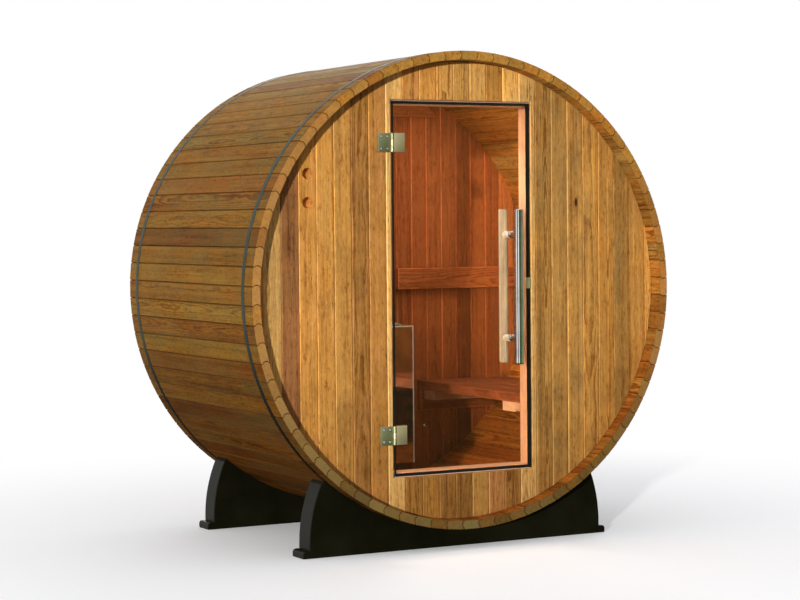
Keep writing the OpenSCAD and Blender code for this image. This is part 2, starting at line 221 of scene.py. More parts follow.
# ---- materials
class Graph:
    """A material's node graph, written as nested calls."""

    def __init__(self, name):
        self.material = bpy.data.materials.new(name)
        self.material.use_nodes = True
        self.tree = self.material.node_tree
        self.tree.nodes.clear()

    def add(self, kind, inputs=None, **settings):
        node = self.tree.nodes.new("ShaderNode" + kind)
        for key, value in settings.items():
            setattr(node, key, value)
        for key, value in (inputs or {}).items():
            if isinstance(value, bpy.types.NodeSocket):
                self.tree.links.new(value, node.inputs[key])
            else:
                node.inputs[key].default_value = value
        return node

    def math(self, operation, a, b=0.0, c=0.0, clamp=False):
        node = self.add("Math", {0: a, 1: b, 2: c}, operation=operation, use_clamp=clamp)
        return node.outputs[0]

    def times(self, a, b):
        return self.math("MULTIPLY", a, b)

    def madd(self, a, b, c, clamp=False):
        """a times b, plus c."""
        return self.math("MULTIPLY_ADD", a, b, c, clamp)

    def scaled(self, vector, factors):
        return self.add("VectorMath", {0: vector, 1: factors}, operation="MULTIPLY").outputs[0]

    def noise(self, vector, detail, rough=0.5):
        return self.add("TexNoise",
                        {"Vector": vector, "Scale": 1.0, "Detail": detail, "Roughness": rough}).outputs[0]

    def noise_on_piece(self, scales, detail, rough):
        place = self.add("TexCoord").outputs["Object"]
        return self.noise(self.scaled(place, scales), detail, rough)

    def step(self, value, low, high, to_low=0.0, to_high=1.0):
        return self.add("MapRange", {0: value, 1: low, 2: high, 3: to_low, 4: to_high},
                        interpolation_type="SMOOTHSTEP").outputs[0]

    def ramp(self, value, stops):
        node = self.add("ValToRGB", {0: value})
        elements = node.color_ramp.elements
        while len(elements) < len(stops):
            elements.new(0.5)
        for element, (place, colour) in zip(elements, stops):
            element.position = place
            element.color = (*colour, 1.0)
        return node.outputs[0]

    def mix(self, factor, a, b, blend="MIX"):
        a, b = ((*x, 1.0) if isinstance(x, tuple) and len(x) == 3 else x for x in (a, b))
        return self.add("Mix", {0: factor, 6: a, 7: b}, data_type="RGBA", blend_type=blend).outputs[2]

    def toned(self, colour, tone):
        return self.mix(1.0, colour, tone, "MULTIPLY")

    def tinge(self, factor, colour, tone):
        """The colour, taken by the factor towards itself multiplied by the tone."""
        return self.mix(factor, colour, self.toned(colour, tone))

    def blend(self, factor, a, b):
        return self.add("MixShader", {0: factor, 1: a, 2: b}).outputs[0]

    def glow(self, kind, colour, strength=1.0):
        """An Emission or a Background shader."""
        return self.add(kind, {"Color": (*colour, 1.0) if isinstance(colour, tuple) else colour,
                               "Strength": strength}).outputs[0]

    def bump(self, height, distance, strength):
        return self.add("Bump",
                        {"Height": height, "Distance": distance, "Strength": strength}).outputs[0]

    def surface(self, **inputs):
        names = {"colour": "Base Color", "rough": "Roughness", "metal": "Metallic", "normal": "Normal",
                 "spec": "Specular IOR Level"}
        shader = self.add("BsdfPrincipled", {names[key]: value for key, value in inputs.items()})
        return self.output(shader.outputs[0])

    def output(self, shader):
        self.add("OutputMaterial", {"Surface": shader})
        return self.material


RINGS_PER_METRE = 300.0


def cedar(name, stops, rough=0.58, weathered=None, depth=1.0, contrast=1.0, shine=0.22,
          painted_edge_shading=(0.50, 0.42, 0.36), end_tone=None, low_shade=0.0, low_shade_top=0.50, outside=None):
    """Cedar with growth rings about each board's own pith, fibres, streaks, mottling, checks and knots.

    Painted shade darkens it from a given share of the whole height down to the ground. weathered is the grey that
    comes over the staves' outsides, and outside is the tone of the back wall's own outside. Eased edges get painted
    shade where their tone darkens them and a painted highlight where it lightens them.
    """
    g = Graph(name)
    grain = g.add("Attribute", attribute_name="grain").outputs["Vector"]
    tint_source = g.add("Attribute", attribute_name="tint").outputs
    tone = g.add("SeparateColor", {0: tint_source["Color"]})
    kind = g.add("SeparateColor",
                 {0: g.add("Attribute", attribute_name="kind").outputs["Color"]})
    hue, value, figure = tone.outputs[0], tone.outputs[1], tone.outputs[2]
    end, edge = kind.outputs[0], kind.outputs[2]
    outer = g.math("GREATER_THAN", kind.outputs[1], 0.75)
    inner = g.math("SUBTRACT", g.math("GREATER_THAN", kind.outputs[1], 0.25), outer)

    def figure_noise(along, across, detail, rough=0.5):
        return g.noise(g.scaled(grain, (along, across, across)), detail, rough)

    # A knot pushes the rings aside and darkens the wood round it.
    cells = g.add("TexVoronoi", {"Vector": g.scaled(grain, (4.0, 12.0, 12.0)), "Scale": 1.0})
    chance = g.add("SeparateColor", {0: cells.outputs["Color"]}).outputs[0]
    rare = g.math("GREATER_THAN", chance, 0.955)
    near, knot = (g.times(g.step(cells.outputs["Distance"], *reach), rare)
                  for reach in ((0.34, 0.04), (0.085, 0.055)))

    parts = g.add("SeparateXYZ", {0: grain})
    radius = g.math("SQRT", g.math("ADD", *(g.math("POWER", parts.outputs[k], 2.0) for k in (1, 2))))
    wave, ripple = figure_noise(1.1, 6.0, 2.0), figure_noise(11.0, 38.0, 3.0)
    for shift, share in ((wave, 0.036), (ripple, 0.0050), (near, 0.012)):
        radius = g.madd(shift, share, radius)
    ring = g.math("FRACT", g.times(radius, RINGS_PER_METRE))
    late = g.times(g.step(ring, 0.30, 0.86), g.step(ring, 1.0, 0.90))

    streak = figure_noise(1.2, 62.0, 5.0, 0.62)
    fibre = figure_noise(16.0, 520.0, 3.0, 0.65)
    mottle = figure_noise(38.0, 95.0, 4.0, 0.65)
    blotch = figure_noise(4.5, 14.0, 4.0, 0.6)
    sheen = figure_noise(7.0, 2.0, 2.0)
    speck = g.step(figure_noise(75.0, 300.0, 1.0), 0.67, 0.74)
    split = figure_noise(5.0, 130.0, 2.0)
    check = g.times(g.step(g.math("ABSOLUTE", g.math("SUBTRACT", split, 0.5)), 0.012, 0.002),
                    g.step(figure_noise(2.6, 21.0, 1.0), 0.60, 0.68))

    # Late wood, streaks, fibres, mottling and specks darken the board's own tone; thin streaks lighten it.
    light = g.ramp(g.madd(g.math("SUBTRACT", blotch, 0.5), 0.60, hue), stops)
    dark = g.toned(light, (0.42, 0.30, 0.20))
    amount = g.times(late, g.madd(figure, 0.42 * contrast, 0.06))
    for mark, share in ((g.step(streak, 0.48, 0.82), 0.42), (g.step(fibre, 0.42, 0.78), 0.26),
                        (g.step(mottle, 0.50, 0.80), 0.40), (speck, 0.22)):
        amount = g.madd(mark, share * contrast, amount)
    amount = g.madd(near, 0.35, amount, clamp=True)
    colour = g.mix(amount, light, dark)
    pale = g.times(g.step(streak, 0.50, 0.24), 0.45)
    pale = g.madd(g.step(mottle, 0.46, 0.24), 0.45, pale, clamp=True)
    colour = g.mix(pale, colour, g.toned(light, (1.42, 1.46, 1.50)))
    colour = g.mix(check, colour, (0.050, 0.018, 0.006))
    colour = g.mix(knot, colour, (0.045, 0.016, 0.006))
    level = g.madd(value, 0.85, 0.60)
    for patch, share in ((blotch, 0.80), (sheen, 0.55)):
        level = g.madd(g.math("SUBTRACT", patch, 0.5), share, level)
    colour = g.toned(colour, g.add("CombineXYZ", {0: level, 1: level, 2: level}).outputs[0])

    # What the place on the sauna does: weather outside and fresh ends; eased edges get a painted highlight or
    # painted shade by their tone, and the wood gets painted shade near the ground.
    if weathered:
        patch = g.times(outer, g.step(figure_noise(2.0, 9.0, 3.0), 0.30, 0.75))
        colour = g.mix(g.times(patch, 0.35), colour, weathered)
        colour = g.tinge(inner, colour, (1.90, 1.95, 3.9))
    if outside:
        colour = g.tinge(outer, colour, outside)
    # low rises towards the ground and masks the painted shade there.
    low = g.step(tint_source["Alpha"], low_shade_top, 0.08)
    if end_tone:
        cut = g.mix(g.times(end, 0.62), g.toned(colour, end_tone), (0.47, 0.270, 0.095))
        # End grain low down gets painted shade, duller and darker.
        cut = g.tinge(low, cut, (0.62, 0.90, 1.0))
        cut = g.tinge(g.times(late, 0.35), cut, (0.55, 0.45, 0.35))
        colour = g.mix(g.step(end, 0.0, 0.2), colour, cut)
    else:
        colour = g.tinge(g.times(end, 0.30), colour, (0.78, 0.70, 0.62))
    # Eased edges take a painted highlight where this tone is above 1, and painted shade where it is below 1.
    colour = g.tinge(g.times(edge, 0.6), colour, painted_edge_shading)
    # Painted shade darkens the wood towards the ground; on the staves it spares their inner faces.
    if low_shade:
        low_shade_mask = g.times(low, g.madd(inner, -low_shade, low_shade) if weathered else low_shade)
        colour = g.tinge(low_shade_mask, colour, (0.45, 0.41, 0.34))

    height = g.madd(fibre, 0.7, g.times(late, -0.4))
    height = g.madd(mottle, 0.5, height)
    height = g.madd(g.math("MAXIMUM", knot, check), -1.2, height)
    roughness = g.madd(blotch, 0.22, rough - 0.11)
    return g.surface(colour=colour, rough=roughness, spec=shine, normal=g.bump(height, 0.0008 * depth, 0.8))


STAVE_TONES = [(0.0, (0.240, 0.153, 0.024)), (0.30, (0.240, 0.108, 0.010)),
               (0.6, (0.205, 0.066, 0.005)), (1.0, (0.105, 0.028, 0.003))]
BOARD_TONES = [(0.0, (0.600, 0.370, 0.130)), (0.25, (0.570, 0.300, 0.075)), (0.5, (0.500, 0.235, 0.048)),
               (0.75, (0.465, 0.212, 0.066)), (1.0, (0.385, 0.165, 0.056))]
INSIDE_TONES = [(0.0, (0.430, 0.180, 0.066)), (0.35, (0.340, 0.117, 0.038)),
                (0.7, (0.250, 0.074, 0.023)), (1.0, (0.150, 0.040, 0.012))]
BENCH_TONES = [(0.0, (0.340, 0.140, 0.070)), (0.5, (0.265, 0.090, 0.040)), (1.0, (0.180, 0.052, 0.022))]
FRESH_TONES = [(0.0, (0.595, 0.400, 0.300)), (0.5, (0.535, 0.315, 0.235)), (1.0, (0.420, 0.218, 0.142))]
HANDLE_TONES = [(0.0, (0.320, 0.325, 0.320)), (1.0, (0.270, 0.272, 0.262))]

# Stave and handle edges get painted shade and the other woods' edges painted highlights; staves, boards and the
# cabin wood get painted shade near the ground.
stave_wood = cedar("stave_wood", STAVE_TONES, weathered=(0.190, 0.140, 0.042), shine=0.06, contrast=2.3,
                   end_tone=(1.75, 1.65, 1.9), low_shade=0.45)
board_wood = cedar("board_wood", BOARD_TONES, painted_edge_shading=(1.60, 1.64, 1.8), contrast=1.95, low_shade=0.52, shine=0.12)
inside_wood = cedar("inside_wood", INSIDE_TONES, painted_edge_shading=(2.4, 2.3, 2.4), contrast=1.5, low_shade=1.0,
                    low_shade_top=0.66, shine=0.10, outside=(1.50, 2.00, 1.40))
bench_wood = cedar("bench_wood", BENCH_TONES, painted_edge_shading=(1.25, 1.25, 1.3), contrast=1.1, shine=0.12)
fresh_wood = cedar("fresh_wood", FRESH_TONES, painted_edge_shading=(1.1, 1.1, 1.15), contrast=0.6)
handle_wood = cedar("handle_wood", HANDLE_TONES, 0.40, depth=0.1, contrast=0.3)


def shaded(colour, factor, lift=0.0):
    return tuple(channel * factor + lift for channel in colour)


def even(scale):
    return (scale, scale, scale)


def metal(name, colour, rough, grain_scale, bump=0.00004, spread=0.12, metalness=1.0):
    """Metal with fine brushing along one axis and faint stains."""
    g = Graph(name)
    brushed = g.noise_on_piece(grain_scale, 3.0, 0.6)
    stain = g.noise_on_piece(even(14.0), 4.0, 0.6)
    tone = g.mix(g.step(stain, 0.35, 0.75), colour, shaded(colour, 0.72))
    tone = g.mix(g.times(brushed, 0.25), tone, shaded(colour, 0.55))
    roughness = g.madd(stain, spread, rough - spread / 2)
    return g.surface(colour=tone, rough=roughness, metal=metalness, normal=g.bump(brushed, bump, 0.5))


def plain(name, colour, rough, shine=0.08):
    """A moulded or rubbery surface with a fine texture and slight wear."""
    g = Graph(name)
    fine = g.noise_on_piece(even(90.0), 4.0, 0.6)
    slow = g.noise_on_piece(even(5.0), 3.0, 0.6)
    tone = g.mix(g.step(slow, 0.3, 0.8), colour, shaded(colour, 1.9, 0.001))
    tone = g.mix(g.times(g.step(fine, 0.55, 0.8), 0.3), tone, shaded(colour, 2.6, 0.003))
    roughness = g.madd(slow, 0.2, rough - 0.1)
    return g.surface(colour=tone, rough=roughness, spec=shine, normal=g.bump(fine, 0.00015, 0.6))


def tinted_glass(name, colour, shade):
    """Solid glass that refracts. Rays from lamps pass it as a tinted film, so the cabin behind is lit."""
    g = Graph(name)
    smear = g.noise_on_piece((3.0, 3.0, 9.0), 4.0, 0.6)
    body = g.add("BsdfPrincipled", {
        "Base Color": g.mix(g.step(smear, 0.3, 0.8), colour, shaded(colour, 0.93)),
        "Roughness": g.madd(g.step(smear, 0.55, 0.9), 0.02, 0.0),
        "Normal": g.bump(smear, 0.00002, 0.3),
        "IOR": 1.45, "Transmission Weight": 1.0}).outputs[0]
    clear = g.add("BsdfTransparent", {0: (*shade, 1.0)}).outputs[0]
    path = g.add("LightPath").outputs["Is Shadow Ray"]
    return g.output(g.blend(path, body, clear))


band_steel = metal("band_steel", (0.034, 0.054, 0.038), 0.44, (600.0, 20.0, 600.0))
# The hinges are one steel in two tints: the leaves' greenish tint and the clamps' lighter gold tint are painted
# reflections.
hinge_steel = metal("hinge_steel", (0.50, 0.52, 0.31), 0.50, (30.0, 30.0, 900.0))
clamp_steel_painted_reflection = metal("clamp_steel_painted_reflection", (0.95, 0.82, 0.52), 0.50, (30.0, 30.0, 900.0))
screw_steel = metal("screw_steel", (0.85, 0.85, 0.78), 0.30, even(200.0), metalness=0.6)
dark_steel = metal("dark_steel", (0.10, 0.09, 0.07), 0.40, even(200.0))
chrome = metal("chrome", (0.90, 0.90, 0.89), 0.035, even(4.0), bump=0.00001, spread=0.03)
satin_steel = metal("satin_steel", (0.78, 0.86, 0.95), 0.34, (60.0, 900.0, 60.0), metalness=0.35)
heater_steel = metal("heater_steel", (0.98, 0.86, 0.74), 0.06, (400.0, 400.0, 6.0), spread=0.03, metalness=0.98)
cradle_black = plain("cradle_black", (0.0040, 0.0038, 0.0014), 0.42)
seal_black = plain("seal_black", (0.007, 0.007, 0.006), 0.40, shine=0.15)
bronze_glass = tinted_glass("bronze_glass", (0.92, 0.76, 0.56), (0.97, 0.90, 0.82))


def stove_stone():
    """Rough dark stone with paler patches."""
    g = Graph("stove_stone")
    coarse = g.noise_on_piece(even(40.0), 5.0, 0.65)
    fine = g.noise_on_piece(even(300.0), 4.0, 0.7)
    colour = g.ramp(coarse, [(0.25, (0.05, 0.048, 0.045)), (0.55, (0.17, 0.165, 0.155)), (0.8, (0.34, 0.33, 0.31))])
    height = g.madd(coarse, 1.0, fine)
    return g.surface(colour=colour, rough=0.85, normal=g.bump(height, 0.001, 0.8))


stone_grey = stove_stone()


# ---- the barrel's staves
STAVE_GAP, STAVE_SPREAD = 0.0009, 0.0012
OUTER_CHAMFER, INNER_CHAMFER = 0.0028, 0.0018
BEAD, BEAD_FROM_INNER, BEAD_FROM_OUTER = 0.0062, 0.004, 0.007
PANELS = 16


def stave_outline():
    """A stave's section: flat faces, a bead on its left side and a cove on its right."""
    half = lambda r: r * math.tan(STAVE_ANGLE / 2) - STAVE_GAP / 2
    low, high = INNER_R + BEAD_FROM_INNER, OUTER_R - BEAD_FROM_OUTER
    middle, reach = (low + high) / 2, (high - low) / 2
    curve = []
    for k in range(9):
        r = low + (high - low) * k / 8
        curve.append((r, BEAD * math.sqrt(max(0.0, 1 - ((r - middle) / reach) ** 2))))
    points = [(-half(INNER_R) + INNER_CHAMFER, INNER_R), (half(INNER_R) - INNER_CHAMFER, INNER_R),
              (half(INNER_R + INNER_CHAMFER), INNER_R + INNER_CHAMFER)]
    points += [(half(r) + b, r) for r, b in curve]
    points += [(half(OUTER_R - OUTER_CHAMFER), OUTER_R - OUTER_CHAMFER), (half(OUTER_R) - OUTER_CHAMFER, OUTER_R),
               (-half(OUTER_R) + OUTER_CHAMFER, OUTER_R), (-half(OUTER_R - OUTER_CHAMFER), OUTER_R - OUTER_CHAMFER)]
    points += [(-half(r) + b, r) for r, b in reversed(curve)]
    points.append((-half(INNER_R + INNER_CHAMFER), INNER_R + INNER_CHAMFER))
    return points


def build_staves():
    outline = stave_outline()
    per_piece = STAVES // PANELS
    for panel in range(PANELS):
        timber = Timber()
        for k in range(per_piece):
            index = panel * per_piece + k - per_piece // 2
            angle = index * STAVE_ANGLE
            radial = Vector((math.sin(angle), 0, math.cos(angle)))
            round_way = Vector((math.cos(angle), 0, -math.sin(angle)))
            start = FRONT_Y + RNG.uniform(0, STAVE_SPREAD)
            end = REAR_Y - RNG.uniform(0, STAVE_SPREAD)

            def place(p, q, depth, radial=radial, round_way=round_way):
                return radial * q + round_way * p + Vector((0, depth, AXIS_Z))
            verts, faces = slab(outline, start, end, 0.0020, place)
            lowness = (1 - math.cos(angle)) / 2
            # Staves lower on the barrel turn from weathered olive to red, and their value falls towards the bottom
            # as painted shade.
            tone = tint(0.16 + 0.50 * lowness, 0.60 - 0.22 * lowness + RNG.gauss(0, 0.14), 0.10)
            tan = clamp(0.40 + 0.55 * max(0.0, -math.sin(angle)) - 0.35 * max(0.0, math.cos(angle))
                        + RNG.gauss(0, 0.20), 0.25)
            timber.add(verts, faces, BACK, round_way, tone, outward=radial, end_tan=tan)
        timber.build("staves_%02d" % (panel + 1), stave_wood, "cedar_staves", ["stave_panel_%02d" % (panel + 1)])


build_staves()


# ---- the end walls
BOARD_GAP, BOARD_BEVEL, NARROWEST_BOARD = 0.0014, 0.0032, 0.008
ARC_STEP, ARC_END = 0.012, 0.002
RECESS_R, RECESS_DEPTH, RECESS_PITCH, RECESS_RISE, RECESS_MARGIN = 0.021, 0.030, 0.108, 0.448, 0.082
LEAD_X, LEAD_DROP, LEAD_R = 0.357, 0.070, 0.010
CUT_OVER = 0.01


def arc(x_from, x_to, side, radius):
    """Points on the wall's round edge, above (side 1) or below (side -1) the axis."""
    steps = max(2, int(abs(x_to - x_from) / ARC_STEP))
    return [(x_from + (x_to - x_from) * i / steps,
             AXIS_Z + side * math.sqrt(max(radius ** 2 - (x_from + (x_to - x_from) * i / steps) ** 2, 1e-8)))
            for i in range(steps + 1)]


def wall_boards(radius, doorway):
    """(outline, group) of each board of a wall. The front wall has a board in its middle, the back a joint."""
    boards = []
    phase = 0.5 if doorway else 0.0
    count = int(radius / BOARD_PITCH) + 1
    for index in range(-count, count + 1):
        left = (index - phase) * BOARD_PITCH + BOARD_GAP / 2
        right = (index - phase + 1) * BOARD_PITCH - BOARD_GAP / 2
        left, right = max(left, ARC_END - radius), min(right, radius - ARC_END)
        if right - left < NARROWEST_BOARD:
            continue
        low, high = arc(left, right, -1, radius), arc(right, left, 1, radius)
        if not doorway or right < -DOOR_HALF or left > DOOR_HALF:
            boards.append((low + high, "left" if index < 0 else "right"))
        elif left > -DOOR_HALF and right < DOOR_HALF:
            boards.append(([(left, DOOR_HIGH), (right, DOOR_HIGH)] + high, "over"))
            boards.append((low + [(right, DOOR_LOW), (left, DOOR_LOW)], "under"))
        elif left < -DOOR_HALF:
            notch = [(right, DOOR_LOW), (-DOOR_HALF, DOOR_LOW), (-DOOR_HALF, DOOR_HIGH), (right, DOOR_HIGH)]
            boards.append((low + notch + high, "left"))
        else:
            notch = [(left, DOOR_HIGH), (DOOR_HALF, DOOR_HIGH), (DOOR_HALF, DOOR_LOW), (left, DOOR_LOW)]
            boards.append((low + high + notch, "right"))
    return boards


def cut_round(verts, faces, cuts):
    """The part with round holes cut in it: (x, z, radius, start_y, end_y)."""
    work = put("cut_work", flat_mesh("cut_work", verts, faces))
    tools = []
    for x, z, radius, start, end in cuts:
        bm = bmesh.new()
        place = Matrix.Translation((x, (start + end) / 2, z)) @ Matrix.Rotation(math.pi / 2, 4, "X")
        bmesh.ops.create_cone(bm, cap_ends=True, segments=40, radius1=radius, radius2=radius, depth=end - start,
                              matrix=place)
        tool_mesh = bpy.data.meshes.new("cut_tool")
        bm.to_mesh(tool_mesh)
        bm.free()
        tools.append(put("cut_tool", tool_mesh))
        change = work.modifiers.new("cut", "BOOLEAN")
        change.operation, change.object, change.solver = "DIFFERENCE", tools[-1], "EXACT"
    done = work.evaluated_get(bpy.context.evaluated_depsgraph_get()).to_mesh()
    result = [v.co.copy() for v in done.vertices], [tuple(p.vertices) for p in done.polygons]
    for item in [work] + tools:
        bpy.data.objects.remove(item)
    return result


def board_tone(points, group):
    """Boards vary. Those notched round the doorway are pale, those over it light and those under it dark."""
    xs = [abs(p[0]) for p in points]
    if min(xs) < DOOR_HALF + 0.001 and max(xs) > DOOR_HALF + 0.001:
        return tint(0.08, 0.72, 0.05)
    hue, value = {"over": (0.28, 0.64), "under": (0.38, 0.30), "right": (0.36, 0.38)}.get(group, (0.42, 0.52))
    return tint(hue, value, 0.18)


def build_front_wall():
    start, end = wall_low.y, wall_high.y
    recess_x = -math.sqrt((INNER_R - RECESS_MARGIN) ** 2 - RECESS_RISE ** 2)
    groups = {}
    for points, group in wall_boards(WALL_R, True):
        verts, faces = slab(points, start, end, BOARD_BEVEL, along_y, rounded=False)
        xs = [p[0] for p in points]
        if min(xs) < recess_x < max(xs):
            verts, faces = cut_round(verts, faces, [
                (recess_x, AXIS_Z + RECESS_RISE - step * RECESS_PITCH, RECESS_R, start - CUT_OVER,
                 start + RECESS_DEPTH) for step in (0, 1)])
        groups.setdefault(group, Timber()).add(verts, faces, UP, ACROSS, board_tone(points, group))
    for group, node in (("left", "front_wall_left"), ("right", "front_wall_right"),
                        ("over", "front_wall_over_door"), ("under", "front_wall_under_door")):
        groups[group].build(node + "_boards", board_wood, "cedar_boards", [node])


def build_back_wall():
    start, end = back_low.y, back_high.y
    halves = {-1: Timber(), 1: Timber()}
    ledger_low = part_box("bench_ledgers")[0]
    for points, _ in wall_boards(WALL_R, False):
        middle = sum(p[0] for p in points) / len(points)
        verts, faces = slab(points, start, end, BOARD_BEVEL, along_y, rounded=False)
        xs = [p[0] for p in points]
        if min(xs) < LEAD_X < max(xs):
            verts, faces = cut_round(verts, faces, [
                (LEAD_X, ledger_low.z - LEAD_DROP, LEAD_R, start - CUT_OVER, end + CUT_OVER)])
        halves[-1 if middle < 0 else 1].add(
            verts, faces, UP, ACROSS, tint(0.50, 0.50, 0.14), outward=Vector(BACK))
    for side, node in ((-1, "back_wall_left"), (1, "back_wall_right")):
        halves[side].build(node + "_boards", inside_wood, "cedar_boards", [node])


build_front_wall()
build_back_wall()


# ---- timber inside
def islands(node):
    """The boxes of a CAD node's separate solids."""
    bm = bmesh.new()
    bm.from_mesh(NODES[node].data)
    bmesh.ops.remove_doubles(bm, verts=bm.verts, dist=1e-5)
    seen, found = set(), []
    for first in bm.verts:
        if first in seen:
            continue
        stack, group = [first], []
        seen.add(first)
        while stack:
            here = stack.pop()
            group.append(here.co.copy())
            for e in here.link_edges:
                other = e.other_vert(here)
                if other not in seen:
                    seen.add(other)
                    stack.append(other)
        found.append(tuple(Vector(extreme(c[k] for c in group) for k in range(3)) for extreme in (min, max)))
    bm.free()
    return found


def timber_boxes(name, node, along, material, slot, tone, rear_tone=None):
    """One timber per solid of the node; those in the rear half can have a tone of their own."""
    timber = Timber()
    across = BACK if along == ACROSS else ACROSS
    for low, high in islands(node):
        verts, faces = cuboid(low, high, 0.003)
        hue, value = rear_tone if rear_tone and low.y > 0 else tone
        timber.add(verts, faces, along, across, tint(hue, value, 0.08))
    return timber.build(name, material, slot, [node])


for hand in ("left", "right"):
    timber_boxes(hand + "_bench_slats", hand + "_bench_seat", BACK, bench_wood, "bench_timber", (0.60, 0.55))
timber_boxes("ledgers", "bench_ledgers", ACROSS, inside_wood, "cedar_timber", (0.35, 0.55))
timber_boxes("rails", "bench_rails", ACROSS, fresh_wood, "cedar_timber", (0.05, 0.35), rear_tone=(1.0, 0.0))
timber_boxes("battens", "middle_battens", ACROSS, inside_wood, "cedar_timber", (0.45, 0.60))
timber_boxes("jambs", "door_jambs", UP, fresh_wood, "cedar_timber", (0.35, 0.60))


def build_cleat():
    low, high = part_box("top_cleat")
    half = high.x
    short = half - (high.z - low.z)
    points = [(-half, low.z), (half, low.z), (short, high.z), (-short, high.z)]
    timber = Timber()
    timber.add(*slab(points, low.y, high.y, 0.002, along_y), ACROSS, UP, tint(0.35, 0.6, 0.05))
    timber.build("back_cleat", inside_wood, "cedar_timber", ["top_cleat"])


STOP_LAP = 0.018


def build_stops():
    """The head and the sill: each is an L of timber behind the edge of the glass."""
    for node, side in (("door_head", 1), ("door_sill", -1)):
        low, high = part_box(node)
        inner_y = wall_high.y
        edge = DOOR_HIGH if side > 0 else DOOR_LOW
        lip = edge - side * STOP_LAP
        far = high.z if side > 0 else low.z
        ring = [(low.y, lip), (high.y, lip), (high.y, far), (inner_y, far), (inner_y, edge), (low.y, edge)]
        if side < 0:
            ring = list(reversed(ring))
        verts, faces = slab(ring, low.x, high.x, 0.002, lambda p, q, depth: Vector((depth, p, q)))
        timber = Timber()
        timber.add(verts, faces, ACROSS, UP, tint(0.25, 0.62, 0.05))
        timber.build(node + "_timber", fresh_wood, "cedar_timber", [node])


build_cleat()
build_stops()


# ---- cradles
def cradle_outline():
    """Half of a cradle from its foot up its rounded end and down under the barrel, then mirrored."""
    foot_half, foot_top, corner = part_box("front_cradle")[1].x, 0.029, 0.012
    half, side_r, side_lift = 0.645, 0.564, 0.018
    centre_x, centre_z = half - side_r, foot_top + side_lift
    barrel_r = OUTER_R + FIT
    right = [(foot_half - 0.003, 0.0), (foot_half, 0.003)]
    for k in range(5):
        a = math.pi / 2 * k / 4
        right.append((foot_half - corner + corner * math.cos(a), foot_top - corner + corner * math.sin(a)))
    right.append((half, foot_top))
    steps = 60
    for k in range(steps + 1):
        a = math.pi / 2 * k / steps
        x, z = centre_x + side_r * math.cos(a), centre_z + side_r * math.sin(a)
        if math.hypot(x, AXIS_Z - z) < barrel_r + 0.009:
            break
        right.append((x, z))
    tip = right[-1]
    end_angle = math.atan2(tip[0], AXIS_Z - tip[1])
    for k in range(41):
        a = end_angle * (1 - k / 40)
        right.append((barrel_r * math.sin(a), AXIS_Z - barrel_r * math.cos(a)))
    return right + [(-x, z) for x, z in reversed(right[:-1])]


def build_cradles():
    outline = cradle_outline()
    for node in ("front_cradle", "rear_cradle"):
        low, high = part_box(node)
        verts, faces = slab(outline, low.y, high.y, 0.0025, along_y)
        finish_mesh(node + "_shell", verts, faces, cradle_black, CABIN, "cradle_black", [node])


build_cradles()


# ---- lathe work: handles, screws
def lathe(profile, centre, axis, segments=32):
    """A turned shape: profile is (distance along axis, radius)."""
    axis = Vector(axis).normalized()
    side = axis.orthogonal().normalized()
    other = axis.cross(side)
    verts, faces = [], []
    for along, radius in profile:
        for k in range(segments):
            a = 2 * math.pi * k / segments
            verts.append(Vector(centre) + axis * along + (side * math.cos(a) + other * math.sin(a)) * radius)
    for level in range(len(profile) - 1):
        for k in range(segments):
            j = (k + 1) % segments
            a, b = level * segments, (level + 1) * segments
            faces.append((a + k, a + j, b + j, b + k))
    faces.append(tuple(range(segments - 1, -1, -1)))
    faces.append(tuple(range((len(profile) - 1) * segments, len(profile) * segments)))
    return verts, faces


def join(parts):
    verts, faces = [], []
    for v, f in parts:
        first = len(verts)
        verts += v
        faces += [tuple(first + i for i in face) for face in f]
    return verts, faces


def soften(piece, angle=35):
    """Smooth shading, with sharp edges kept."""
    for polygon in piece.data.polygons:
        polygon.use_smooth = True
    piece.data.set_sharp_from_angle(angle=math.radians(angle))
    return piece


FIXING_HALF_PITCH = 0.2015


def build_handles():
    low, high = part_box("outer_handle")
    bar_r = (high.x - low.x) / 2
    x = (low.x + high.x) / 2
    middle_z = (seal_low.z + seal_high.z) / 2
    for node, side, material, slot, bar_y, face_y in (
            ("outer_handle", -1, chrome, "chrome", low.y + bar_r, glass_low.y),
            ("inner_handle", 1, handle_wood, "handle_wood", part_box("inner_handle")[1].y - bar_r, glass_high.y)):
        box_low, box_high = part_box(node)
        length = box_high.z - box_low.z
        bar = [(0.0015, 0.003), (0.0015, bar_r - 0.008), (0, bar_r - 0.0065), (0, bar_r - 0.004),
               (0.0012, bar_r - 0.0012), (0.004, bar_r), (0.006, bar_r), (0.009, bar_r)]
        bar += [(length - along, radius) for along, radius in reversed(bar)]
        bar_mesh = lathe(bar, (x, bar_y, box_low.z), UP, 64)
        posts = []
        for level in (-1, 1):
            z = middle_z + level * FIXING_HALF_PITCH
            reach = abs(bar_y - face_y)
            collar, neck = (0.014, 0.0105) if side < 0 else (0.014, 0.013)
            post = [(0, collar), (0.0045, collar), (0.006, collar - 0.0015), (0.0065, neck),
                    (reach - bar_r * 0.55, neck), (reach - bar_r * 0.5, neck)]
            posts.append(lathe(post, (x, face_y, z), (0, side, 0), 32))
        if side > 0:
            timber = Timber()
            timber.add(*bar_mesh, UP, ACROSS, (0.3, 0.5, 0.4), pith=(0.03, 0.05))
            soften(timber.build("inner_bar", material, slot, [node], DOOR))
            soften(finish_mesh("inner_bar_posts", *join(posts), satin_steel, DOOR, "chrome"))
        else:
            soften(finish_mesh("outer_bar", *join([bar_mesh] + posts), material, DOOR, slot, [node]))


build_handles()


def screw(centre, axis, radius):
    """A countersunk screw head with a cross recess."""
    profile = [(-0.0012, radius * 0.7), (0.0, radius), (radius * 0.16, radius * 0.86),
               (radius * 0.22, radius * 0.5), (radius * 0.05, radius * 0.34), (-0.0010, radius * 0.16)]
    return lathe(profile, centre, axis, 20)


